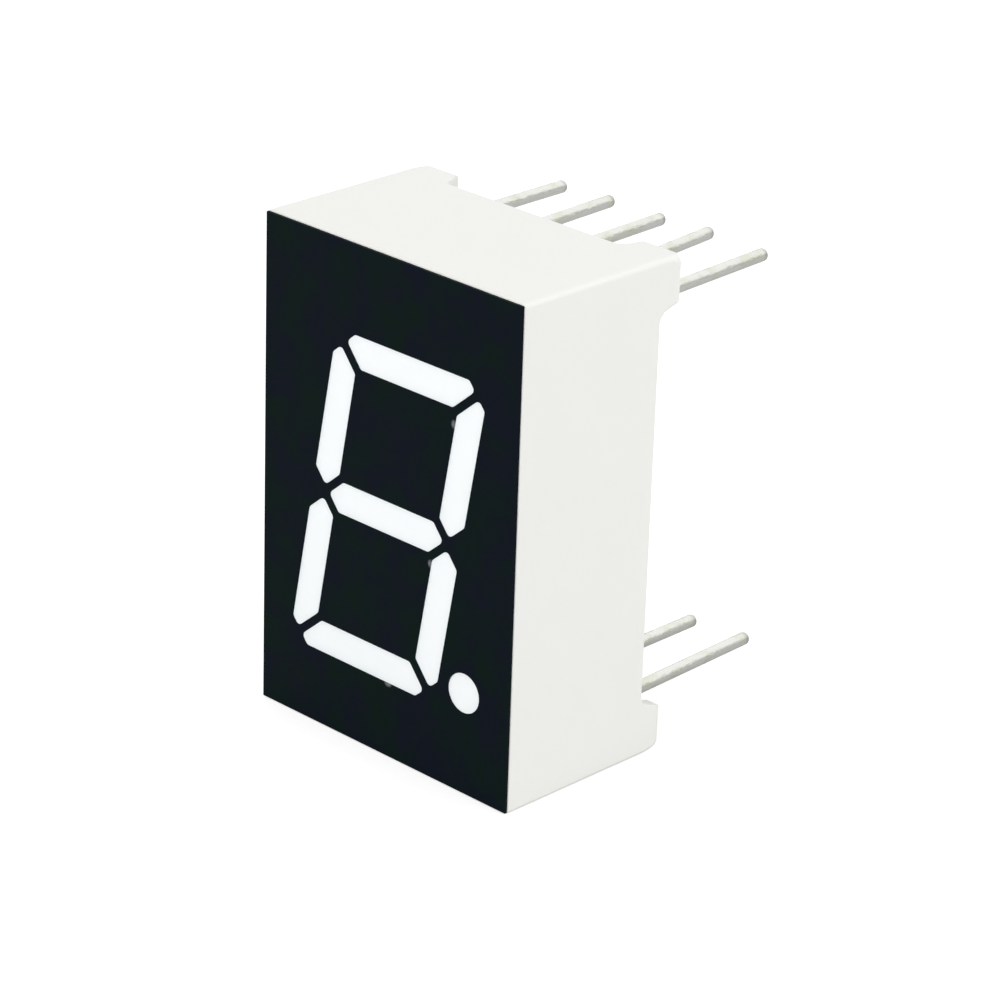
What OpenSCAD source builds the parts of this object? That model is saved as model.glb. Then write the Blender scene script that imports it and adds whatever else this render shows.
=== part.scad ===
// Single-digit seven segment LED display, through-hole type, with ten pins.
// Frame: X runs right across the face, Y runs back from the face to the pin tips, Z is up.
// Origin: middle of the lower edge, half way between the face and the pin tips.

/* [Body] */
// Distance from the outer pins to the side faces of the housing
side_margin = 1.27; // [1.2:0.01:2.5]
// Distance from each row of pins to the nearer end of the housing
end_margin = 1.905; // [1.5:0.005:4]
// Depth from the black face to the rear rim
body_depth = 6.8; // [6:0.1:9]
// Thickness of the two long side walls round the board tray
side_wall = 0.6; // [0.45:0.05:0.65]
// Thickness of the top and bottom walls round the board tray
end_wall = 0.65; // [0.5:0.05:1]
// Depth of the board tray, from the rear rim to the back of the reflector
tray_depth = 1.95; // [1.8:0.05:2.5]
// Radius of the four long outer edges
edge_r = 0.18; // [0.1:0.01:0.4]

/* [Feet] */
// Height that each foot stands behind the rear rim
foot_h = 1.1; // [0.5:0.1:2]
// Length of a foot along either wall, at the rear rim
foot_root = 2.1; // [1.8:0.05:3]
// Length of a foot along either wall, at its tip
foot_tip = 1.7; // [1.2:0.05:1.75]
// Radius of the hollow where a foot meets the rim
foot_fillet = 0.35; // [0.1:0.01:0.4]
// Radius of the inner corner at the end of a foot
foot_round = 0.2; // [0.1:0.01:0.4]
// Radius of the outer edges round the end of a foot
heel_r = 0.25; // [0.1:0.01:0.4]

/* [Face] */
// Thickness of the black coat
coat_t = 0.1; // [0.05:0.01:0.2]
// Bare rim left round the black coat
coat_margin = 0.06; // [0.02:0.01:0.2]

/* [Digit] */
// Height of the digit, outside to outside
digit_h = 12.7; // [12:0.1:13]
// Width of the digit before it is slanted, outside to outside
digit_w = 7.48; // [6.8:0.02:7.6]
// Width of one bar
stroke = 1.22; // [1:0.02:1.4]
// Clear gap between two neighbouring bars
bar_gap = 0.35; // [0.25:0.01:0.5]
// Leg of the 45 degree cut across each outer corner of the digit
corner_cut = 0.93; // [0.7:0.01:1.1]
// Rounding of the corners of a bar
bar_r = 0.18; // [0.06:0.01:0.2]
// Slant of the digit, in degrees
slant = 10; // [0:0.5:12]
// Distance of the digit's middle below the middle of the face
digit_drop = 0.2; // [0:0.05:0.5]
// Diameter of the decimal point
point_d = 1.5; // [1.2:0.05:1.6]
// Distance of the decimal point to the right of the digit's middle
point_x = 4.1; // [4:0.05:4.4]
// Distance of the decimal point below the digit's middle
point_drop = 5.37; // [5:0.05:5.5]

/* [Light wells] */
// Depth of the straight mouth of a well, behind the coat
well_land = 0.3; // [0.1:0.05:1]
// Length of a well at its narrow back end
well_back_l = 1.6; // [1.4:0.05:2]
// Width of a well at its narrow back end
well_back_w = 0.9; // [0.8:0.05:1]
// Diameter of the decimal point's well at its back end
point_back_d = 1.2; // [1.15:0.05:1.4]

/* [Board] */
// Thickness of the circuit board
board_t = 1; // [0.8:0.1:1.2]
// Clearance between the edge of the board and the tray walls
board_clear = 0.1; // [0.05:0.01:0.12]
// Height of the rests that hold the board off the reflector
rest_h = 0.15; // [0.1:0.01:0.2]
// Width of a rest
rest_w = 0.45; // [0.3:0.05:0.5]
// Length of a rest
rest_l = 1.2; // [0.6:0.1:2]
// Thickness of the copper on the board
copper_t = 0.05; // [0.03:0.01:0.07]
// Width of a track
track_w = 0.2; // [0.12:0.02:0.3]
// Width of the link between the two common pins
link_w = 0.6; // [0.3:0.05:0.8]
// Width of the resin that climbs the walls behind the board
creep_w = 0.16; // [0.1:0.01:0.17]
// Height of the resin that climbs the walls behind the board
creep_h = 0.35; // [0.2:0.05:0.5]

/* [Pins] */
// Diameter of a pin
pin_d = 0.48; // [0.44:0.02:0.54]
// Diameter of a pin at its inner end, where it is drawn down to drop into the board
root_d = 0.42; // [0.36:0.02:0.44]
// Length of the slight taper past the feet, up to the full diameter
taper_past = 0.2; // [0.15:0.05:1]
// Length of the pins beyond the feet
pin_reach = 6; // [3:0.1:10]
// Distance between neighbouring pins
pin_pitch = 2.54; // [2.5:0.01:2.56]
// Distance between the two rows of pins
row_space = 15.24; // [15:0.01:15.3]
// Rounding of the tip of a pin
tip_r = 0.16; // [0.05:0.01:0.19]
// Radial space round a pin in its hole, filled with solder
hole_clear = 0.11; // [0.05:0.01:0.15]
// Radius of the copper ring round a hole
ring_r = 0.5; // [0.45:0.01:0.52]
// Bare copper left round the foot of a solder joint
solder_edge = 0.03; // [0.01:0.01:0.05]
// Height that the solder climbs along a pin
solder_h = 0.45; // [0.2:0.05:0.7]

/* [Dies and wires] */
// Side of a square LED die
die_w = 0.3; // [0.2:0.02:0.36]
// Height of a die
die_t = 0.2; // [0.12:0.01:0.24]
// Diameter of a bond wire
wire_d = 0.04; // [0.03:0.01:0.05]
// Diameter of the bead at each end of a bond wire
bead_d = 0.1; // [0.09:0.01:0.14]
// Height of a bead
bead_h = 0.06; // [0.06:0.01:0.08]
// Height of a bond wire's arc above the copper
wire_arch = 0.38; // [0.36:0.01:0.45]
// Side of the copper pad that carries a die
die_pad = 0.5; // [0.4:0.02:0.6]
// Side of the copper pad that takes the end of a bond wire
bond_pad = 0.24; // [0.2:0.02:0.3]

/* [Hidden] */
BARS = ["a", "b", "c", "d", "e", "f", "g"];
LIGHTS = concat(BARS, ["point"]);
PINS = [1:10];
COMMON_LOW = 3; // the middle pin of each row is common to all lights
COMMON_HIGH = 8;
$fn = 48;

// Stations along the depth, measured back from the black face
reflector_back = body_depth - tray_depth;
board_front = reflector_back + rest_h;
board_back = board_front + board_t;
copper_front = board_front - copper_t;
copper_back = board_back + copper_t;
foot_back = body_depth + foot_h;
pin_back = foot_back + pin_reach;
face_y = -pin_back / 2;

// Housing, tray, board and pins
pin_columns = 5;
body_w = (pin_columns - 1) * pin_pitch + 2 * side_margin;
body_h = row_space + 2 * end_margin;
tray_w = body_w - 2 * side_wall;
tray_h = body_h - 2 * end_wall;
board_w = tray_w - 2 * board_clear;
board_h = tray_h - 2 * board_clear;
pin_r = pin_d / 2;
root_r = root_d / 2;
hole_r = pin_r + hole_clear;
solder_r = ring_r - solder_edge;
solder_lip = 0.02; // thickness of the solder where it ends on the pin
eps = 0.02; // overlap of a cut past the face it opens
// The coat's corners are as sharp as the round edges of the housing let them be
coat_r = max(0.02, (sqrt(2) * (edge_r - coat_margin) - edge_r) / (sqrt(2) - 1));

// Digit: distances of the bars' middle lines from the digit's middle
col = (digit_w - stroke) / 2;
row = (digit_h - stroke) / 2;
half = stroke / 2;
mitre = bar_gap / sqrt(2); // shift of a bar's 45 degree end from the true mitre line
cut_sum = col + row + stroke - corner_cut; // sum of both coordinates along a cut outer corner
digit_z = body_h / 2 - digit_drop;

// Bond wire: an arc about a point on the copper, from the bead on the die to the bead on its pad
wire_from = asin((die_t + bead_h / 2) / wire_arch);
wire_to = asin(bead_h / 2 / wire_arch);
wire_mid = wire_arch * cos(wire_from); // from the middle of the die to the middle of the arc
wire_reach = wire_mid + wire_arch * cos(wire_to); // from the middle of the die to the pad
die_shift = wire_reach / 2; // the die and its pad share the well's back end

// ---- Points and places ----

// Face coordinates of a point of the upright digit, after the slant
function slanted(p) = [p.x + p.y * tan(slant), p.y];

function turned_round(pts) = [for (i = [len(pts) - 1:-1:0]) pts[i]];

// An outline mirrored left to right and top to bottom, still anticlockwise
function flipped(pts, sx, sy) =
    let (m = [for (p = pts) [sx * p.x, sy * p.y]]) sx * sy > 0 ? m : turned_round(m);

// Arc of radius r that rounds corner p between its neighbours a and b
function rounded_corner(a, p, b, r, steps = 3) =
    let (
        to_a = (a - p) / norm(a - p),
        to_b = (b - p) / norm(b - p),
        opening = acos(to_a * to_b),
        middle = p + (to_a + to_b) / norm(to_a + to_b) * r / sin(opening / 2),
        sweep = 180 - opening,
        start = p + to_a * r / tan(opening / 2) - middle
    )
    [for (k = [0:steps]) let (w = sweep * k / steps)
        middle + [start.x * cos(w) - start.y * sin(w), start.x * sin(w) + start.y * cos(w)]];

function rounded(pts, r) = [for (i = [0:len(pts) - 1])
    each rounded_corner(pts[(i + len(pts) - 1) % len(pts)], pts[i], pts[(i + 1) % len(pts)], r)];

// Top bar, right upper bar and middle bar of the upright digit, anticlockwise
cut_top = (cut_sum + row - col + mitre) / 2; // height of the top bar's pointed ends
cut_side = (cut_sum + row - col - mitre) / 2; // height of the side bar's upper point
top_bar = [
    [-col + half + mitre, row - half], [col - half - mitre, row - half],
    [cut_sum - cut_top, cut_top], [cut_sum - row - half, row + half],
    [-cut_sum + row + half, row + half], [-cut_sum + cut_top, cut_top]];
side_bar = [
    [col, mitre], [col + half, mitre + half],
    [col + half, cut_sum - col - half], [cut_sum - cut_side, cut_side],
    [col - half, row - half - mitre], [col - half, mitre + half]];
middle_bar = [
    [-col + mitre, 0], [-col + half + mitre, -half], [col - half - mitre, -half],
    [col - mitre, 0], [col - half - mitre, half], [-col + half + mitre, half]];

function bar_outline(bar) =
    bar == "a" ? top_bar :
    bar == "b" ? side_bar :
    bar == "c" ? flipped(side_bar, 1, -1) :
    bar == "d" ? flipped(top_bar, 1, -1) :
    bar == "e" ? flipped(side_bar, -1, -1) :
    bar == "f" ? flipped(side_bar, -1, 1) : middle_bar;

// Middle of a bar or of the point, from the digit's middle, before the slant
function light_middle(light) =
    light == "a" ? [0, row] :
    light == "b" ? [col, row / 2] :
    light == "c" ? [col, -row / 2] :
    light == "d" ? [0, -row] :
    light == "e" ? [-col, -row / 2] :
    light == "f" ? [-col, row / 2] :
    light == "g" ? [0, 0] : [point_x + point_drop * tan(slant), -point_drop];

// Direction in which a light's wire runs away from its die, in degrees on the face
function light_turn(light) =
    light == "a" ? 0 :
    light == "b" || light == "f" ? 90 - slant :
    light == "c" || light == "e" ? -90 - slant :
    light == "d" || light == "g" ? 180 : -45;

// Place of a pin on the face, numbered anticlockwise from the lower left one
function pin_place(n) =
    let (middle = (pin_columns + 1) / 2)
    n <= pin_columns
        ? [(n - middle) * pin_pitch, end_margin]
        : [(middle + pin_columns - n) * pin_pitch, body_h - end_margin];

// Closed skin over rings of equal point count; each ring is [depth, anticlockwise outline]
module skin(rings) {
    count = len(rings[0][1]);
    last = len(rings) - 1;
    points = [for (ring = rings) for (p = ring[1]) [p.x, face_y + ring[0], p.y]];
    front = [for (i = [count - 1:-1:0]) i];
    back = [for (i = [0:count - 1]) last * count + i];
    sides = [for (k = [0:last - 1]) for (i = [0:count - 1])
        let (here = k * count, next = (i + 1) % count)
        each [
            [here + i, here + next, here + count + next],
            [here + i, here + count + next, here + count + i]]];
    polyhedron(points, concat([front, back], sides), convexity = 4);
}

// Extrusion of a face outline between two depths
module slab(from, to)
    translate([0, face_y + to, 0]) rotate([90, 0, 0]) linear_extrude(to - from) children();

// Frame of a light: local X along the wire, local Y across, local Z towards the viewer, from the copper
module at_light(light) {
    p = slanted(light_middle(light));
    translate([p.x, face_y + copper_front, digit_z + p.y])
        rotate([90, 0, 0]) rotate([0, 0, light_turn(light)]) children();
}

// Frame of a pin: local Z runs back along the pin, from the front of the copper
module at_pin(n) {
    p = pin_place(n);
    translate([p.x, face_y + copper_front, p.y]) rotate([-90, 0, 0]) children();
}

// ---- Outlines on the face ----

module rounded_rectangle(w, h, r) {
    square([w - 2 * r, h], center = true);
    square([w, h - 2 * r], center = true);
    for (sx = [-1, 1], sy = [-1, 1]) translate([sx * (w / 2 - r), sy * (h / 2 - r)]) circle(r);
}

module body_outline(inset = 0)
    translate([0, body_h / 2]) rounded_rectangle(body_w - 2 * inset, body_h - 2 * inset, edge_r);

module tray_outline(inset = 0)
    translate([0, body_h / 2]) square([tray_w - 2 * inset, tray_h - 2 * inset], center = true);

function window_outline(bar) =
    [for (p = rounded(bar_outline(bar), bar_r)) slanted(p) + [0, digit_z]];

// Straight track with round ends
module track(from, to, w) {
    run = to - from;
    translate(from) rotate(atan2(run.y, run.x)) translate([0, -w / 2]) square([norm(run), w]);
    for (end = [from, to]) translate(end) circle(w / 2);
}

// ---- Light wells ----

// Back end of a bar's well: an oval along the bar, with one point for each point of its window
function well_back(bar, window) =
    let (
        middle = slanted(light_middle(bar)) + [0, digit_z],
        turn = light_turn(bar)
    )
    [for (p = window) let (
        d = p - middle,
        along = (d.x * cos(turn) + d.y * sin(turn)) / well_back_l,
        across = (-d.x * sin(turn) + d.y * cos(turn)) / well_back_w,
        angle = atan2(across, along),
        u = cos(angle) * well_back_l / 2,
        v = sin(angle) * well_back_w / 2)
        middle + [u * cos(turn) - v * sin(turn), u * sin(turn) + v * cos(turn)]];

// Light well of a bar, from its window to the back of the reflector
module bar_well(bar, front, back) {
    window = window_outline(bar);
    narrow = well_back(bar, window);
    skin([[front, window], [coat_t + well_land, window], [reflector_back, narrow], [back, narrow]]);
}

module point_place() {
    p = slanted(light_middle("point"));
    translate([p.x, 0, digit_z + p.y]) children();
}

// Light well of the decimal point: a straight mouth and a cone
module point_well(front, back) {
    mouth = coat_t + well_land;
    point_place() translate([0, face_y, 0]) rotate([-90, 0, 0]) {
        translate([0, 0, front]) cylinder(h = mouth - front, d = point_d);
        translate([0, 0, mouth])
            cylinder(h = reflector_back - mouth, d1 = point_d, d2 = point_back_d);
        translate([0, 0, reflector_back]) cylinder(h = back - reflector_back, d = point_back_d);
    }
}

module light_wells(front, back) {
    for (bar = BARS) bar_well(bar, front, back);
    point_well(front, back);
}

module windows() {
    for (bar = BARS) polygon(window_outline(bar));
    translate(slanted(light_middle("point")) + [0, digit_z]) circle(d = point_d);
}

// ---- Housing ----

// One leg of a foot, seen flat: X along the wall from the corner, Y back from the rim
module foot_profile() {
    reach = foot_root + foot_fillet;
    past = foot_round + foot_fillet; // runs past the corner and the rim, to keep them square
    intersection() {
        offset(r = foot_round) offset(delta = -foot_round)
            offset(r = -foot_fillet) offset(delta = foot_fillet) {
                polygon([
                    [-past, -past], [foot_root, -past], [foot_root, 0],
                    [foot_tip, foot_h], [-past, foot_h]]);
                translate([-past, -past]) square([past + 2 * reach, past]);
            }
        square([reach, foot_h]);
    }
}

// Outer side of a foot, seen flat as above, with its round heel
module heel_profile(reach) {
    square([reach, foot_h - heel_r]);
    translate([heel_r, 0]) square([reach, foot_h]);
    translate([heel_r, foot_h - heel_r]) circle(heel_r);
}

// A foot continues both walls of its corner past the rim
module foot() {
    rim_y = face_y + body_depth;
    reach = foot_root + 2 * foot_fillet;
    translate([body_w / 2, rim_y, 0]) mirror([1, 0, 0]) intersection() {
        union() {
            linear_extrude(end_wall) foot_profile();
            along_other_wall() linear_extrude(side_wall) foot_profile();
        }
        linear_extrude(reach) heel_profile(reach);
        along_other_wall() linear_extrude(reach) heel_profile(reach);
        translate([body_w / 2, foot_h, body_h / 2]) rotate([90, 0, 0])
            linear_extrude(foot_h) rounded_rectangle(body_w, body_h, edge_r);
    }
}

// Swaps the two walls of a corner: X becomes Z and Z becomes X
module along_other_wall()
    rotate([0, -90, 0]) mirror([0, 0, 1]) children();

// Rests that hold the board off the reflector, along both side walls
module rests()
    for (sx = [-1, 1], sz = [-1, 1])
        translate([sx * (tray_w - rest_w) / 2, body_h / 2 + sz * rest_l])
            square([rest_w, rest_l], center = true);

module reflector_housing()
    color("whitesmoke") {
        difference() {
            slab(coat_t, body_depth) body_outline();
            slab(reflector_back, body_depth + eps) tray_outline();
            light_wells(coat_t - eps, reflector_back + eps);
        }
        slab(reflector_back, board_front) rests();
        for (mx = [0, 1], mz = [0, 1])
            mirror([mx, 0, 0]) translate([0, 0, mz * body_h]) mirror([0, 0, mz]) foot();
    }

module face_coat()
    color([0.07, 0.09, 0.1]) slab(0, coat_t) difference() {
        translate([0, body_h / 2])
            rounded_rectangle(body_w - 2 * coat_margin, body_h - 2 * coat_margin, coat_r);
        windows();
    }

// ---- Resin ----

// Pool left open behind the board: its sides curve out to the tray walls
module open_pool() {
    steps = 5;
    climb = [for (k = [0:steps]) let (w = 90 * k / steps)
        [board_back + creep_h * (1 - cos(w)), pool_outline(creep_w * (1 - sin(w)))]];
    skin(concat(climb, [[body_depth, pool_outline(0)]]));
}

// Outline of the pool at a given distance inside the tray walls, with small round corners
function pool_outline(inset) =
    let (x = tray_w / 2 - inset, low = end_wall + inset, high = body_h - end_wall - inset)
    rounded([[-x, low], [x, low], [x, high], [-x, high]], creep_w);

module resin_fill()
    color("white") difference() {
        union() {
            light_wells(0, reflector_back + rest_h / 2);
            slab(reflector_back, board_back + creep_h) tray_outline();
        }
        open_pool();
        slab(reflector_back - eps, board_front) rests();
        slab(board_front, board_back) board_outline();
        front_copper();
        back_copper();
        for (n = PINS) {
            at_pin(n) cylinder(h = copper_t + eps, r = hole_r);
            solder(n);
        }
        for (light = LIGHTS) {
            led_die(light);
            bond_wire(light);
        }
    }

// ---- Board ----

module board_outline()
    translate([0, body_h / 2]) square([board_w, board_h], center = true);

module pin_holes()
    for (n = PINS) translate(pin_place(n)) circle(hole_r);

module circuit_board()
    color("seagreen") slab(board_front, board_back) difference() {
        board_outline();
        pin_holes();
    }

module rings()
    for (n = PINS) translate(pin_place(n)) circle(ring_r);

// Place on the face of a point in the frame of a light
function at_light_point(light, along) =
    slanted(light_middle(light)) + [0, digit_z]
    + along * [cos(light_turn(light)), sin(light_turn(light))];
function die_place(light) = at_light_point(light, -die_shift);
function bond_place(light) = at_light_point(light, wire_reach - die_shift);

module pads() {
    for (light = LIGHTS) {
        translate(die_place(light)) rotate(light_turn(light)) square(die_pad, center = true);
        translate(bond_place(light)) rotate(light_turn(light)) square(bond_pad, center = true);
    }
}

// Tracks: each bond pad runs to its own pin, and every die pad joins the two common pins
module tracks() {
    lane = col + stroke; // outer lane, clear of the side bars' pads
    for (pair = [["b", 6], ["a", 7], ["f", 9], ["e", 1], ["d", 2], ["c", 4], ["point", 5]])
        track(bond_place(pair[0]), pin_place(pair[1]), track_w);
    track(bond_place("g"), [-lane, digit_z], track_w);
    track([-lane, digit_z], pin_place(10), track_w);
    for (pair = [["a", COMMON_HIGH], ["d", COMMON_LOW]])
        track(die_place(pair[0]), pin_place(pair[1]), track_w);
    for (pair = [["a", "g"], ["d", "g"], ["b", "g"], ["f", "a"], ["e", "d"], ["c", "g"]])
        track(die_place(pair[0]), die_place(pair[1]), track_w);
    track(die_place("c"), [lane, die_place("c").y], track_w);
    track([lane, die_place("c").y], die_place("point"), track_w);
}

// Copper is cut off at the edge of the board and open at the pin holes
module etched()
    difference() {
        intersection() {
            board_outline();
            children();
        }
        pin_holes();
    }

module front_copper()
    color("peru") slab(copper_front, board_front) etched() {
        rings();
        pads();
        tracks();
    }

module back_copper()
    color("peru") slab(board_back, copper_back) etched() {
        rings();
        track(pin_place(COMMON_LOW), pin_place(COMMON_HIGH), link_w);
    }

// ---- Pins and solder ----

// Half section of a pin: radius along X, length along Y from the front of the copper.
// It widens very slightly to its full diameter just past the feet, and its tip is round.
module pin_section() {
    taper = foot_back + taper_past - copper_front;
    length = pin_back - copper_front;
    polygon([[0, 0], [root_r, 0], [pin_r, taper], [0, taper]]);
    translate([0, taper]) square([pin_r, length - tip_r - taper]);
    square([pin_r - tip_r, length]);
    intersection() {
        translate([pin_r - tip_r, length - tip_r]) circle(tip_r);
        square([pin_r, length]);
    }
}

module pin(n)
    color("silver") at_pin(n) rotate_extrude() pin_section();

// Solder fills the hole round the pin and climbs it in a hollow fillet
module solder(n) {
    base = copper_back - copper_front;
    spread = solder_r - pin_r - solder_lip;
    sweep_r = (spread * spread + solder_h * solder_h) / (2 * spread);
    color("lightsteelblue") at_pin(n) rotate_extrude() difference() {
        union() {
            square([hole_r, base]);
            translate([0, base]) difference() {
                square([solder_r, solder_h]);
                translate([pin_r + solder_lip + sweep_r, solder_h]) circle(sweep_r, $fn = 96);
            }
        }
        pin_section();
    }
}

// ---- Dies and bond wires ----

module led_die(light)
    color("gold") at_light(light)
        translate([-die_shift, 0, die_t / 2]) cube([die_w, die_w, die_t], center = true);

module bond_wire(light)
    color("goldenrod") at_light(light) {
        translate([wire_mid - die_shift, 0, 0]) rotate([90, 0, 0])
            rotate_extrude(start = wire_to, angle = 180 - wire_from - wire_to)
                translate([wire_arch, 0]) circle(d = wire_d, $fn = 16);
        translate([-die_shift, 0, die_t]) cylinder(h = bead_h, d = bead_d, $fn = 16);
        translate([wire_reach - die_shift, 0, 0]) cylinder(h = bead_h, d = bead_d, $fn = 16);
    }

// ---- Assembly ----

reflector_housing();
face_coat();
resin_fill();
circuit_board();
front_copper();
back_copper();
for (n = PINS) pin(n);
for (n = PINS) solder(n);
for (light = LIGHTS) led_die(light);
for (light = LIGHTS) bond_wire(light);
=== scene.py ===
"""Looks of a single-digit seven segment LED display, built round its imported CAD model."""
import math

import bmesh
import bpy
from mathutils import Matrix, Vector


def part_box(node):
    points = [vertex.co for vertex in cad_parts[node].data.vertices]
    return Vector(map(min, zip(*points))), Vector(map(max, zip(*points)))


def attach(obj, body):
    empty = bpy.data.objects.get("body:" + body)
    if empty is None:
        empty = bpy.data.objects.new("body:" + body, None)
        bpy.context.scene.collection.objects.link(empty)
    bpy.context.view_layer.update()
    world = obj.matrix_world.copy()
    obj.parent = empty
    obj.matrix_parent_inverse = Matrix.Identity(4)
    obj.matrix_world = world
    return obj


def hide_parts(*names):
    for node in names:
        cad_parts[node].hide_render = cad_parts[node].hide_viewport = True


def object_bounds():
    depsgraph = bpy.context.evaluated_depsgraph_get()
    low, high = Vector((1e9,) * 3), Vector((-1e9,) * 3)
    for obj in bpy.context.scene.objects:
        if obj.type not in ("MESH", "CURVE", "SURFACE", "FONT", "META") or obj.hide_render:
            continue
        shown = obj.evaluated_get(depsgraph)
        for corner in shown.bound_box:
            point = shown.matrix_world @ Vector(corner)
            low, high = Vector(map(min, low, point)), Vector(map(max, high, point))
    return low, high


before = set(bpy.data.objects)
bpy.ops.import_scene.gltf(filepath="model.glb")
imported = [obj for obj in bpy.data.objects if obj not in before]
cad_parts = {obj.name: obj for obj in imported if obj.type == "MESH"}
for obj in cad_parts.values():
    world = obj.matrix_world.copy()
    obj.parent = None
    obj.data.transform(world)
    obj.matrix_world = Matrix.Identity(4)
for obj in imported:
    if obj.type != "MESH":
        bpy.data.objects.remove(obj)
cad_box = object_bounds()

# ---------------------------------------------------------------------------------------------
# Camera
# The display stands on its lower edge and is seen from the front right, a little from above,
# through a long lens that keeps its edges nearly parallel.
MM = 0.001
whole_low, whole_high = cad_box
MIDDLE = (whole_low + whole_high) / 2
AIM = MIDDLE + Vector((-0.2, -0.99, -1.32)) * MM
AZIMUTH = math.radians(43.98)
ELEVATION = math.radians(23.42)
ROLL = math.radians(1.89)
DISTANCE = 142.3 * MM
FOCAL_LENGTH = 141.5


def show(name, data):
    """Put an object with that name and data into the scene."""
    thing = bpy.data.objects.new(name, data)
    bpy.context.scene.collection.objects.link(thing)
    return thing


lens = bpy.data.cameras.new("camera")
lens.sensor_width = 36
lens.lens = FOCAL_LENGTH
lens.clip_start = 5 * MM
lens.clip_end = 20
camera = show("camera", lens)
toward_camera = Vector((
    math.sin(AZIMUTH) * math.cos(ELEVATION),
    -math.cos(AZIMUTH) * math.cos(ELEVATION),
    math.sin(ELEVATION)))
camera.location = AIM + toward_camera * DISTANCE
camera.rotation_euler = toward_camera.to_track_quat("Z", "Y").to_euler()
camera.rotation_euler.rotate_axis("Z", ROLL)
bpy.context.scene.camera = camera

# ---------------------------------------------------------------------------------------------
# Reflector housing
# One block of white plastic, injection moulded in a spark-eroded tool that leaves a fine satin
# grain. Its light wells, board tray and four feet come with it. Its outer edges are soft, and
# each foot ends in a ball corner at its heel.
EDGE_SOFTNESS = 0.09 * MM
FRONT_SOFTNESS = 0.05 * MM
SOFT_EDGE_ANGLE = math.radians(40)
SHORTEST_SOFT_EDGE = 0.3 * MM
TOUCH = 0.02 * MM  # how near to a face of the housing counts as on it
EDGE_R = 0.18 * MM  # of the long edges, from front to back
HEEL_R = 0.25 * MM  # of the edges round the back of the feet
BALL_R = 0.47 * MM  # of the corners where those two meet
BALL_REACH = 1.3 * MM  # how far in front of its heel a long edge begins to widen
BLOCK_SPARE = 0.01 * MM
ARC_STEPS = 8
SEAM = 0.0005 * MM  # points of a CAD mesh that lie closer together than this are one
FLAT_ANGLE = math.radians(0.5)
SLIVER = 0.002 * MM
HOUSING_SHARP_ANGLE = math.radians(35)
housing_low, housing_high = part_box("reflector_housing")
housing_middle = (housing_low + housing_high) / 2
_, coat_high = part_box("face_coat")
_, board_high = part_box("circuit_board")


def mesh_of(shape, name):
    """A mesh from a bmesh, which is then freed."""
    mesh = bpy.data.meshes.new(name)
    shape.to_mesh(mesh)
    shape.free()
    return mesh


def solid_copy(node):
    """A closed copy of a CAD node's mesh, without the lines between its flat triangles."""
    shape = bmesh.new()
    shape.from_mesh(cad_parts[node].data)
    bmesh.ops.remove_doubles(shape, verts=shape.verts, dist=SEAM)
    bmesh.ops.dissolve_limit(
        shape, angle_limit=FLAT_ANGLE, verts=shape.verts, edges=shape.edges)
    return shape


def is_outside(vert):
    """Whether a vertex lies on the housing's outer skin, its rim or its feet."""
    x, y, z = vert.co
    return (
        y > board_high.y + TOUCH
        or abs(x) > housing_high.x - TOUCH
        or z < housing_low.z + TOUCH
        or z > housing_high.z - TOUCH)


def soften(shape, softness, at_front):
    """Round the sharp outer edges, either those of the front or all the others."""
    soft = [
        edge for edge in shape.edges
        if len(edge.link_faces) == 2
        and edge.calc_face_angle(0) > SOFT_EDGE_ANGLE
        and edge.calc_length() > SHORTEST_SOFT_EDGE
        and all(is_outside(vert) for vert in edge.verts)
        and at_front == all(vert.co.y < coat_high.y + TOUCH for vert in edge.verts)]
    bmesh.ops.bevel(
        shape, geom=soft, offset=softness, segments=3, profile=0.5, affect="EDGES",
        clamp_overlap=False)


def rounded_rectangle(y, half_x, half_z, radius):
    """Points round four arcs, whose centres are half_x and half_z from the housing's middle."""
    points = []
    for corner, (side_x, side_z) in enumerate(((1, 1), (-1, 1), (-1, -1), (1, -1))):
        for step in range(ARC_STEPS + 1):
            turn = math.pi / 2 * (corner + step / ARC_STEPS)
            points.append((
                side_x * half_x + radius * math.cos(turn),
                y,
                housing_middle.z + side_z * half_z + radius * math.sin(turn)))
    return points


def ball_cornered_block():
    """A block just larger than the housing, whose long edges widen into a ball at each heel."""
    ball_start = housing_high.y - BALL_REACH
    heel_start = housing_high.y - HEEL_R
    stations = [(housing_low.y - BALL_REACH, 0.0)]  # y and how far the block has drawn in there
    for step in range(ARC_STEPS):
        stations.append((ball_start + (heel_start - ball_start) * step / ARC_STEPS, 0.0))
    for step in range(ARC_STEPS + 1):
        turn = math.pi / 2 * step / ARC_STEPS
        stations.append((heel_start + HEEL_R * math.sin(turn), HEEL_R * (1 - math.cos(turn))))
    block = bmesh.new()
    rings = []
    for y, drawn_in in stations:
        share = max(0.0, (y - ball_start) / BALL_REACH)
        radius = EDGE_R + (BALL_R - EDGE_R) * share * share - drawn_in
        ring = rounded_rectangle(
            y + BLOCK_SPARE,
            housing_high.x - drawn_in - radius + BLOCK_SPARE,
            housing_high.z - housing_middle.z - drawn_in - radius + BLOCK_SPARE,
            radius)
        rings.append([block.verts.new(point) for point in ring])
    for near, far in zip(rings, rings[1:]):
        for i, j in zip(range(len(near)), [*range(1, len(near)), 0]):
            block.faces.new((near[i], near[j], far[j], far[i]))
    block.faces.new(rings[0])
    block.faces.new(rings[-1])
    bmesh.ops.recalc_face_normals(block, faces=block.faces)
    return mesh_of(block, "ball_cornered_block")


def finished_mesh(thing):
    """The mesh of an object after its modifiers. The object and its first mesh go."""
    evaluated = thing.evaluated_get(bpy.context.evaluated_depsgraph_get())
    mesh = bpy.data.meshes.new_from_object(evaluated)
    name = thing.data.name
    bpy.data.meshes.remove(thing.data)
    mesh.name = name
    return mesh


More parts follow.
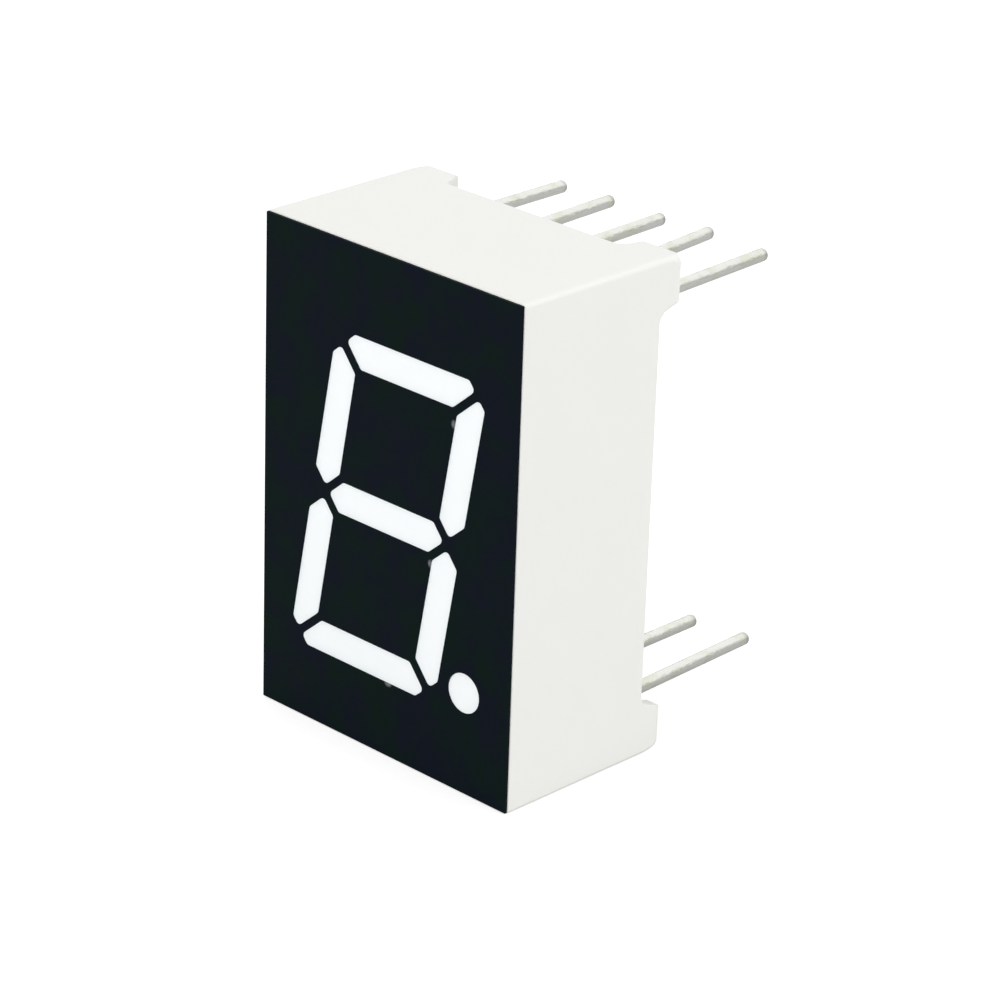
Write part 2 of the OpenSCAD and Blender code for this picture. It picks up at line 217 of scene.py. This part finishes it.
def in_fixed_order(mesh):
    """A bmesh of the mesh with its points and faces sorted, since a cut leaves them in any order."""
    shape = bmesh.new()
    points = sorted(tuple(vert.co) for vert in mesh.vertices)
    rank = {point: i for i, point in enumerate(points)}
    faces = []
    for face in mesh.polygons:
        corners = [rank[tuple(mesh.vertices[i].co)] for i in face.vertices]
        first = corners.index(min(corners))
        faces.append(corners[first:] + corners[:first])
    verts = [shape.verts.new(point) for point in points]
    for corners in sorted(faces):
        shape.faces.new([verts[i] for i in corners])
    return shape


def common_part(mesh, block_mesh):
    """What two closed meshes share, with the slivers along the cut merged away."""
    name = mesh.name
    thing, block = show("whole", mesh), show("block", block_mesh)
    cut = thing.modifiers.new("cut", "BOOLEAN")
    cut.operation = "INTERSECT"
    cut.solver = "EXACT"
    cut.object = block
    shared_mesh = finished_mesh(thing)
    shape = in_fixed_order(shared_mesh)
    bmesh.ops.remove_doubles(shape, verts=shape.verts, dist=SLIVER)
    bpy.data.meshes.remove(block_mesh)
    bpy.data.meshes.remove(shared_mesh)
    return mesh_of(shape, name)


def shade_smooth(mesh, sharp_angle):
    """Smooth shading, with a hard line only at edges that turn by more than the angle."""
    mesh.shade_smooth()
    mesh.set_sharp_from_angle(angle=sharp_angle)


def evenly_shaded(mesh):
    """Shading in which large flat faces stay flat and their rounded edges take the turn."""
    thing = show("shaded", mesh)
    weigh = thing.modifiers.new("weigh", "WEIGHTED_NORMAL")
    weigh.mode = "FACE_AREA"
    weigh.weight = 100
    weigh.keep_sharp = True
    return finished_mesh(thing)


shape = solid_copy("reflector_housing")
soften(shape, EDGE_SOFTNESS, at_front=False)
soften(shape, FRONT_SOFTNESS, at_front=True)
housing_mesh = common_part(
    mesh_of(shape, "reflector_housing_shell"), ball_cornered_block())
shade_smooth(housing_mesh, HOUSING_SHARP_ANGLE)
housing_mesh = evenly_shaded(housing_mesh)


class Signal:
    """One output of a node. Sums, products and comparisons of signals add Math nodes."""

    def __init__(self, network, out):
        self.network = network
        self.out = out

    def math(self, operation, *values):
        return self.network.node("ShaderNodeMath", {"operation": operation}, *values)

    def __add__(self, other):
        return self.math("ADD", self, other)

    def __radd__(self, other):
        return self.math("ADD", other, self)

    def __sub__(self, other):
        return self.math("SUBTRACT", self, other)

    def __rsub__(self, other):
        return self.math("SUBTRACT", other, self)

    def __mul__(self, other):
        return self.math("MULTIPLY", self, other)

    def __rmul__(self, other):
        return self.math("MULTIPLY", other, self)

    def __truediv__(self, other):
        return self.math("DIVIDE", self, other)

    def __rtruediv__(self, other):
        return self.math("DIVIDE", other, self)

    def __lt__(self, other):
        return self.math("LESS_THAN", self, other)

    def __gt__(self, other):
        return self.math("GREATER_THAN", self, other)

    def __abs__(self):
        return self.math("ABSOLUTE", self)

    def root(self):
        return self.math("POWER", self, 0.5)

    def sine(self):
        return self.math("SINE", self)

    def cosine(self):
        return self.math("COSINE", self)

    def modulo(self, length):
        return self.math("FLOORED_MODULO", self, length)

    def largest(self, other):
        return self.math("MAXIMUM", self, other)

    def limit(self):
        """The signal kept between 0 and 1."""
        return self.network.node("ShaderNodeClamp", {}, self)

    def ramp(self, start, length):
        """0 up to the start, and 1 from the start plus the length on."""
        return ((self - start) / length).limit()

    def output(self, name):
        """Another output of the same node."""
        return Signal(self.network, self.out.node.outputs[name])

    def axes(self):
        """The x, y and z of a vector."""
        split = self.network.node("ShaderNodeSeparateXYZ", {}, self)
        return [split.output(axis) for axis in "XYZ"]


class Network:
    """A tree of nodes, all added by one method."""

    def __init__(self, tree):
        self.tree = tree

    def feed(self, socket, value):
        """Link a signal to a socket, or set the socket to a plain value."""
        if isinstance(value, Signal):
            self.tree.links.new(value.out, socket)
        else:
            socket.default_value = value

    def node(self, kind, settings, *values, **named):
        """Add a node: its settings first, then its sockets by position or by name."""
        node = self.tree.nodes.new(kind)
        for name, value in settings.items():
            setattr(node, name, value)
        sockets = [socket for socket in node.inputs if socket.enabled]
        for socket, value in zip(sockets, values):
            self.feed(socket, value)
        by_name = {socket.name.replace(" ", "_"): socket for socket in sockets}
        for name, value in named.items():
            self.feed(by_name[name], value)
        outputs = [socket for socket in node.outputs if socket.enabled]
        return Signal(self, outputs[0]) if outputs else None


class Finish(Network):
    """A material on the Principled shader, whose patterns all read the piece's own coordinates."""

    def __init__(self, name, **constants):
        self.material = bpy.data.materials.new(name)
        self.material.use_nodes = True
        super().__init__(self.material.node_tree)
        self.shader = self.tree.nodes["Principled BSDF"]
        self.set(**constants)
        self.place = self.node("ShaderNodeTexCoord", {}).output("Object")

    def set(self, **values):
        """Set or link sockets of the shader, named in lower case with _ for a space."""
        names = {socket.name.lower().replace(" ", "_"): socket for socket in self.shader.inputs}
        for name, value in values.items():
            self.feed(names[name], value)

    def noise(self, grain, detail=3.0, stretch=(1, 1, 1)):
        """Noise whose blotches are about grain metres across, longer along a stretched axis."""
        scale = tuple(1 / (grain * s) for s in stretch)
        place = self.node("ShaderNodeMapping", {}, Vector=self.place, Scale=scale)
        return self.node("ShaderNodeTexNoise", {}, Vector=place, Scale=1.0, Detail=detail)

    def mix(self, share, first, second):
        """A colour part way from first to second."""
        return self.node("ShaderNodeMix", {"data_type": "RGBA"}, share, first, second)

    def relief(self, height, depth, **below):
        """Bump of a height signal, depth metres from lowest to highest, over any Normal below."""
        return self.node("ShaderNodeBump", {}, Height=height, Distance=depth, Strength=1.0, **below)


def colour(red, green, blue):
    """A colour as it looks on a screen, from 0 to 255, as a linear one."""
    def linear(c):
        c /= 255
        return c / 12.92 if c <= 0.04045 else ((c + 0.055) / 1.055) ** 2.4
    return (linear(red), linear(green), linear(blue), 1.0)


def finished_piece(name, mesh, finish, slot, *nodes):
    """An object on the frame's body, in place of CAD nodes."""
    mesh.materials.clear()
    mesh.materials.append(finish.material)
    piece = show(name, mesh)
    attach(piece, "root")
    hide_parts(*nodes)


white_plastic = Finish(
    "white_plastic", ior=1.5, subsurface_weight=0.12, subsurface_radius=(1.0, 0.9, 0.8),
    subsurface_scale=0.25 * MM)
blotches = white_plastic.noise(3 * MM, detail=2)
spark_grain = white_plastic.noise(0.045 * MM, detail=2)
flow = white_plastic.noise(1.2 * MM, stretch=(1, 1, 6))
white_plastic.set(
    base_color=white_plastic.mix(blotches, colour(240, 240, 236), colour(242, 242, 238)),
    roughness=0.36 + 0.1 * spark_grain + 0.06 * flow,
    normal=white_plastic.relief(
        spark_grain, 0.0022 * MM, Normal=white_plastic.relief(flow, 0.004 * MM)))
finished_piece(
    "reflector_housing_shell", housing_mesh, white_plastic, "housing_white",
    "reflector_housing")

# ---------------------------------------------------------------------------------------------
# Face coat
# A blue-black ink, hot stamped on the flat front of the housing and left open over the light
# wells. It is satin and faintly mottled, and carries three small pale smears, two beside bars
# on the right and one under the lowest bar.
SMEARS = [  # x and z of the middle, half width and half height, in mm
    (3.24, 13.85, 0.13, 0.18),
    (2.27, 8.31, 0.12, 0.17),
    (0.3, 2.93, 0.2, 0.13),
]


def dress(node, finish):
    """Give a CAD node that stays in view its finish."""
    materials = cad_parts[node].data.materials
    materials.clear()
    materials.append(finish.material)


face_black = Finish("face_black", ior=1.45, specular_ior_level=0.05)
x, _, z = face_black.place.axes()
mottle = face_black.noise(1.3 * MM).ramp(0.36, 0.28)
ink_grain = face_black.noise(0.08 * MM)


def smear(middle_x, middle_z, half_w, half_h):
    """1 at the middle of an oval on the face, falling to 0 at its rim."""
    across = (x - middle_x * MM) / (half_w * MM)
    along = (z - middle_z * MM) / (half_h * MM)
    return (1 - (across * across + along * along)).limit()


smeared = (sum(smear(*oval) for oval in SMEARS) * (0.35 + 0.9 * ink_grain)).limit()
black = face_black.mix(mottle, colour(8, 23, 20), colour(13, 18, 29))
face_black.set(
    base_color=face_black.mix(0.75 * smeared, black, colour(140, 143, 145)),
    roughness=0.46 + 0.1 * mottle,
    normal=face_black.relief(ink_grain, 0.0012 * MM))
dress("face_coat", face_black)

# ---------------------------------------------------------------------------------------------
# Circuit board
# Glass laminate under green solder mask, seated in the tray on its corner rests and held there
# by the resin round it. The weave of the glass shows faintly through the mask.
THREAD = 0.4 * MM
green_mask = Finish("green_mask", ior=1.5, coat_weight=0.3)
x, _, z = green_mask.place.axes()
turns = 2 * math.pi / THREAD
weave = 0.5 + 0.25 * ((x * turns).sine() * (z * turns).sine())
pools = green_mask.noise(2.5 * MM)
green_mask.set(
    base_color=green_mask.mix(
        0.6 * weave + 0.4 * pools, colour(20, 74, 40), colour(32, 96, 54)),
    roughness=0.2 + 0.15 * pools,
    normal=green_mask.relief(weave, 0.004 * MM))
dress("circuit_board", green_mask)

# ---------------------------------------------------------------------------------------------
# Copper
# Etched foil on both sides of the board. Behind the board the link between the common pins
# runs under the mask, and the rings round the holes are bare and tinned.


def middle_of(node):
    """The middle of a CAD node's box."""
    node_low, node_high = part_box(node)
    return (node_low + node_high) / 2


RING_R = 0.5 * MM
PIN_PITCH = middle_of("pin_2").x - middle_of("pin_1").x
ROW_LOW = middle_of("pin_1").z
ROW_HIGH = middle_of("pin_8").z
ROW_SPACING = ROW_HIGH - ROW_LOW
ROW_MIDDLE = (ROW_LOW + ROW_HIGH) / 2

foil = Finish("copper_foil", metallic=1.0)
foil.set(
    base_color=foil.mix(foil.noise(0.5 * MM), colour(201, 125, 84), colour(222, 150, 106)),
    roughness=0.3 + 0.2 * foil.noise(0.2 * MM),
    normal=foil.relief(foil.noise(0.06 * MM), 0.001 * MM))
dress("front_copper", foil)

masked_copper = Finish("masked_copper")
x, _, z = masked_copper.place.axes()
from_row = abs(abs(z - ROW_MIDDLE) - ROW_SPACING / 2)
from_column = ((x / PIN_PITCH + 0.5).modulo(1.0) - 0.5) * PIN_PITCH
bare = (from_row * from_row + from_column * from_column).root() < RING_R
ripple = masked_copper.noise(0.4 * MM)
masked_copper.set(
    base_color=masked_copper.mix(bare, colour(52, 122, 66), colour(205, 206, 204)),
    metallic=bare,
    roughness=0.22 + 0.15 * ripple,
    normal=masked_copper.relief(ripple, 0.004 * MM))
dress("back_copper", masked_copper)

# ---------------------------------------------------------------------------------------------
# Dies and bond wires
# Eight LED crystals, each glued to its copper pad behind one bar or behind the point, and joined
# to a second pad by one fine gold wire.
crystal = Finish("led_crystal", roughness=0.2, ior=2.4)
crystal.set(
    base_color=crystal.mix(
        crystal.noise(0.1 * MM), colour(190, 160, 70), colour(214, 186, 96)),
    normal=crystal.relief(crystal.noise(0.05 * MM), 0.001 * MM))
gold = Finish("gold_wire", metallic=1.0)
gold.set(
    base_color=gold.mix(gold.noise(0.1 * MM), colour(232, 182, 86), colour(244, 200, 110)),
    roughness=0.18 + 0.1 * gold.noise(0.03 * MM))
for light in ("a", "b", "c", "d", "e", "f", "g", "point"):
    dress(f"led_die_{light}", crystal)
    dress(f"bond_wire_{light}", gold)

# ---------------------------------------------------------------------------------------------
# Pins
# Tinned round wire, drawn down a little where it enters the board and tumbled so that each tip
# is round. Ten of them stand in two rows of five, and handling has bent their free ends a
# little aside.
TURNED_SHARP_ANGLE = math.radians(50)
TAPER_PAST_FEET = 0.2 * MM
DARK_TIP_LENGTH = 0.3 * MM  # the stretch at the end over which the colour darkens to grey towards the tip
DARK_TIP_FADE = 0.25 * MM
LEAN_CURVE = 1.5
LEANS = [  # how far each tip is knocked aside along x and z, in mm, from the left
    [(0.05, -0.04), (-0.06, 0.03), (-0.2, 0.03), (-0.05, -0.02), (0.03, 0.18)],  # lower row
    [(0.02, 0.02), (-0.08, 0.09), (-0.07, 0.07), (-0.25, 0.18), (-0.19, 0.06)],  # upper row
]
pin_low, pin_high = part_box("pin_1")
PIN_R = (pin_high.x - pin_low.x) / 2
ROWS = {
    "Columns": len(LEANS[0]),
    "Pitch": PIN_PITCH,
    "Row spacing": ROW_SPACING,
    "Middle": ROW_MIDDLE,
    "Sides": 32,
}


class Shape(Network):
    """A Geometry Nodes tree with named inputs, used once and turned into a plain mesh."""

    def __init__(self, name, sizes):
        super().__init__(bpy.data.node_groups.new(name, "GeometryNodeTree"))
        sockets = self.tree.interface
        sockets.new_socket("Geometry", in_out="INPUT", socket_type="NodeSocketGeometry")
        sockets.new_socket("Geometry", in_out="OUTPUT", socket_type="NodeSocketGeometry")
        self.settings = {}
        for size, value in sizes.items():
            kind = "NodeSocketInt" if isinstance(value, int) else "NodeSocketFloat"
            socket = sockets.new_socket(size, in_out="INPUT", socket_type=kind)
            self.settings[socket.identifier] = value
        self.inlet = self.node("NodeGroupInput", {})

    def __getitem__(self, size):
        return self.inlet.output(size)

    def vector(self, x, y, z):
        return self.node("ShaderNodeCombineXYZ", {}, x, y, z)

    def mesh(self, name, geometry, finish):
        """End the tree in real geometry with its material, run it and keep the mesh."""
        real = self.node("GeometryNodeRealizeInstances", {}, geometry)
        painted = self.node("GeometryNodeSetMaterial", {}, real, Material=finish.material)
        self.node("NodeGroupOutput", {}, painted)
        host = show(name, bpy.data.meshes.new(name))
        modifier = host.modifiers.new(name, "NODES")
        modifier.node_group = self.tree
        for identifier, value in self.settings.items():
            modifier[identifier] = value
        return finished_mesh(host)


def turned(shape, rings, depth, radius):
    """A body of revolution about Y from a count of rings, each ring's depth and its radius."""
    line = shape.node("GeometryNodeMeshLine", {"mode": "OFFSET"}, Count=rings)
    line = shape.node("GeometryNodeSetPosition", {}, line, Position=shape.vector(0.0, depth, 0.0))
    curve = shape.node("GeometryNodeMeshToCurve", {}, line)
    ring = shape.node(
        "GeometryNodeCurvePrimitiveCircle", {}, Resolution=shape["Sides"], Radius=1.0)
    return shape.node("GeometryNodeCurveToMesh", {}, curve, ring, Scale=radius, Fill_Caps=True)


def at_pins(shape, thing):
    """The thing repeated at all ten pins."""
    grid = shape.node(
        "GeometryNodeMeshGrid", {}, Size_X=shape["Pitch"] * (shape["Columns"] - 1),
        Size_Y=shape["Row spacing"], Vertices_X=shape["Columns"], Vertices_Y=2)
    upright = shape.node(
        "GeometryNodeTransform", {}, grid, Translation=shape.vector(0.0, 0.0, shape["Middle"]),
        Rotation=(math.pi / 2, 0, 0))
    return shape.node("GeometryNodeInstanceOnPoints", {}, upright, Instance=thing)


pins = Shape("pin_rows", ROWS | {
    "Start": pin_low.y,
    "Taper end": housing_high.y + TAPER_PAST_FEET,
    "End": pin_high.y,
    "Root radius": 0.21 * MM,
    "Radius": PIN_R,
    "Tip": 0.16 * MM,
    "Tip rings": 7,
})
ring = pins.node("GeometryNodeInputIndex", {})
past_start = ring > 0.5
past_taper = ring > 1.5
turn = (ring - 2).largest(0.0) / pins["Tip rings"] * (math.pi / 2)
along = (
    pins["Start"]
    + past_start * (pins["Taper end"] - pins["Start"])
    + past_taper * (pins["End"] - pins["Tip"] - pins["Taper end"])
    + pins["Tip"] * turn.sine())
across = (
    pins["Root radius"]
    + past_start * (pins["Radius"] - pins["Root radius"])
    - pins["Tip"] * (1 - turn.cosine()))
pin = turned(pins, pins["Tip rings"] + 3, along, across)

bright_tin = Finish("bright_tin", metallic=1.0)
drawn = bright_tin.noise(0.05 * MM, detail=2, stretch=(1, 14, 1))
dents = bright_tin.noise(0.22 * MM, stretch=(1, 2, 1))
pits = bright_tin.noise(0.09 * MM, detail=2)
patches = bright_tin.noise(0.6 * MM)
_, y, _ = bright_tin.place.axes()
# The tin's colour darkens to grey over the last stretch towards each tip.
darker_tip = y.ramp(pin_high.y - DARK_TIP_LENGTH, DARK_TIP_FADE)
tin = bright_tin.mix(patches.ramp(0.45, 0.3), colour(237, 238, 232), colour(224, 226, 206))
bright_tin.set(
    base_color=bright_tin.mix(0.6 * darker_tip, tin, colour(132, 133, 134)),
    roughness=0.12 + 0.12 * drawn + 0.12 * patches,
    normal=bright_tin.relief(
        0.6 * drawn + pits, 0.004 * MM, Normal=bright_tin.relief(dents, 0.045 * MM)))

pin_mesh = pins.mesh("tinned_pins", at_pins(pins, pin), bright_tin)
free_length = pin_high.y - housing_high.y
for vert in pin_mesh.vertices:
    row = int(vert.co.z > ROW_MIDDLE)
    column = round(vert.co.x / PIN_PITCH + (ROWS["Columns"] - 1) / 2)
    lean_x, lean_z = LEANS[row][column]
    bend = MM * (max(0.0, vert.co.y - housing_high.y) / free_length) ** LEAN_CURVE
    vert.co.x += lean_x * bend
    vert.co.z += lean_z * bend
shade_smooth(pin_mesh, TURNED_SHARP_ANGLE)
finished_piece(
    "tinned_pins", pin_mesh, bright_tin, "pin_tin", *[f"pin_{n}" for n in range(1, 11)])

# ---------------------------------------------------------------------------------------------
# Solder joints
# Bright tin solder, melted in round each pin. It fills the hole and climbs the pin in a hollow
# cone, and its free skin is a little uneven, so no two joints are quite alike.
solder_low, solder_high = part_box("solder_1")
_, copper_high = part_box("back_copper")
joints = Shape("solder_joints", ROWS | {
    "Start": solder_low.y,
    "Foot": copper_high.y,
    "End": solder_high.y,
    "Hole radius": 0.35 * MM,
    "Foot radius": (solder_high.x - solder_low.x) / 2,
    "Pin radius": PIN_R,
    "Lip": 0.02 * MM,
    "Rings": 9,
    "Unevenness": 0.03 * MM,
    "Wave": 0.7 * MM,
    "Even rim": 0.01 * MM,
})
ring = joints.node("GeometryNodeInputIndex", {})
climb = (ring - 2).largest(0.0) / (joints["Rings"] - 1)
height = joints["End"] - joints["Foot"]
spread = joints["Foot radius"] - joints["Pin radius"] - joints["Lip"]
sweep = (spread * spread + height * height) / (2 * spread)
rise = (1 - climb) * height
hollow = sweep - (sweep * sweep - rise * rise).largest(0.0).root()
in_hole = 1 - (ring > 1.5)
depth = joints["Start"] + (ring > 0.5) * (joints["Foot"] - joints["Start"]) + climb * height
cone_r = joints["Pin radius"] + joints["Lip"] + hollow
radius = cone_r + in_hole * (joints["Hole radius"] - cone_r)
joint = turned(joints, joints["Rings"] + 2, depth, radius)
all_joints = joints.node("GeometryNodeRealizeInstances", {}, at_pins(joints, joint))
ripples = joints.node("ShaderNodeTexNoise", {}, Scale=1 / joints["Wave"], Detail=1.0)
_, y, _ = joints.node("GeometryNodeInputPosition", {}).axes()
free = (y > joints["Foot"] + joints["Even rim"]) * (1 - (y > joints["End"] - joints["Even rim"]))
push = (ripples - 0.5) * joints["Unevenness"] * free
outward = joints.node("GeometryNodeInputNormal", {})
pushed = joints.node("ShaderNodeVectorMath", {"operation": "SCALE"}, outward, Scale=push)
uneven = joints.node("GeometryNodeSetPosition", {}, all_joints, Offset=pushed)

bright_solder = Finish("bright_solder", metallic=1.0)
frost = bright_solder.noise(0.12 * MM)
bright_solder.set(
    base_color=bright_solder.mix(frost, colour(196, 198, 200), colour(214, 215, 214)),
    roughness=0.14 + 0.25 * frost,
    normal=bright_solder.relief(frost, 0.004 * MM))

solder_mesh = joints.mesh("solder_joints", uneven, bright_solder)
shade_smooth(solder_mesh, TURNED_SHARP_ANGLE)
finished_piece(
    "solder_joints", solder_mesh, bright_solder, "solder",
    *[f"solder_{n}" for n in range(1, 11)])

# ---------------------------------------------------------------------------------------------
# Resin fill
# Milky epoxy, poured into the face-down housing and cured round the board. It fills the light
# wells flush with the face, beds the board and climbs the tray walls behind it.
milky_resin = Finish(
    "milky_resin", ior=1.52, subsurface_weight=0.35, subsurface_radius=(1.0, 0.95, 0.9),
    subsurface_scale=0.4 * MM)
clouds = milky_resin.noise(1.1 * MM)
skin = milky_resin.noise(0.35 * MM, detail=2)
milky_resin.set(
    base_color=milky_resin.mix(clouds, colour(246, 252, 254), colour(249, 254, 255)),
    roughness=0.26 + 0.12 * skin,
    normal=milky_resin.relief(skin, 0.003 * MM))
dress("resin_fill", milky_resin)

# ---------------------------------------------------------------------------------------------
# Studio
# A white floor that keeps the display's soft shadow, a white room and three weak soft boxes.
# In the metal the room shows bright above and grey towards the floor, as a light tent does.
FLOOR_HALF = 3.0
FLOOR_GREY = (0.56, 0.56, 0.56, 1)
FLOOR_GLOW = 0.64  # added for the camera alone, so that the floor shows white
ROOM_LIGHT = 0.845  # how strongly the room lights the display
ROOM_WHITE = 1.1  # how bright the camera sees the room
TENT_BRIGHT = 1.02  # how bright gloss and metal see the room, at its brightest and dullest
TENT_GREY = 0.45
TENT_TOP = (-0.5, 0.0, 0.866)  # the way to the brightest part of the tent
TENT_EDGE = (-0.4, 0.4)  # where it turns from grey to bright, as the cosine of the angle to there
SOFT_BOXES = [  # name, place and side in metres, watts
    ("right_box", (0.38, -0.02, 0.09), 0.16, 0.38),
    ("front_box", (-0.10, -0.42, 0.09), 0.16, 0.69),
    ("back_box", (0.12, 0.36, 0.22), 0.24, 0.22),
]

floor_mesh = bpy.data.meshes.new("floor")
corners = [
    (side_x * FLOOR_HALF, side_y * FLOOR_HALF, 0)
    for side_x, side_y in ((-1, -1), (1, -1), (1, 1), (-1, 1))]
floor_mesh.from_pydata(corners, [], [(0, 1, 2, 3)])
floor = show("floor", floor_mesh)
paper_material = bpy.data.materials.new("white_paper")
paper_material.use_nodes = True
paper_material.node_tree.nodes.clear()
floor_mesh.materials.append(paper_material)
paper = Network(paper_material.node_tree)
rays = paper.node("ShaderNodeLightPath", {})
plain = paper.node("ShaderNodeBsdfDiffuse", {}, Color=FLOOR_GREY)
glow = paper.node("ShaderNodeEmission", {}, Strength=FLOOR_GLOW * rays.output("Is Camera Ray"))
paper.node(
    "ShaderNodeOutputMaterial", {}, paper.node("ShaderNodeAddShader", {}, plain, glow))

world = bpy.data.worlds.new("white_room")
bpy.context.scene.world = world
world.use_nodes = True
world.node_tree.nodes.clear()
room = Network(world.node_tree)
rays = room.node("ShaderNodeLightPath", {})
way = room.node("ShaderNodeTexCoord", {}).output("Generated")
towards_top = room.node("ShaderNodeVectorMath", {"operation": "DOT_PRODUCT"}, way, TENT_TOP)
tent = room.node(
    "ShaderNodeMapRange", {"interpolation_type": "SMOOTHSTEP"},
    towards_top, *TENT_EDGE, TENT_GREY, TENT_BRIGHT)
light = room.node("ShaderNodeMix", {}, rays.output("Is Glossy Ray"), ROOM_LIGHT, tent)
seen = rays.output("Is Camera Ray").largest(rays.output("Is Transmission Ray"))
level = room.node("ShaderNodeMix", {}, seen, light, ROOM_WHITE)
sky = room.node("ShaderNodeBackground", {}, Color=(1, 1, 1, 1), Strength=level)
room.node("ShaderNodeOutputWorld", {}, sky)

for name, place, side, watts in SOFT_BOXES:
    lamp = bpy.data.lights.new(name, "AREA")
    lamp.shape = "SQUARE"
    lamp.size = side
    lamp.energy = watts
    box = show(name, lamp)
    box.location = place
    box.visible_glossy = False
    box.rotation_euler = (Vector(place) - MIDDLE).to_track_quat("Z", "Y").to_euler()

bpy.context.scene.view_settings.view_transform = "Standard"

# ---------------------------------------------------------------------------------------------
# Update
# The view layer is brought up to date after all pieces are dressed.
bpy.context.view_layer.update()
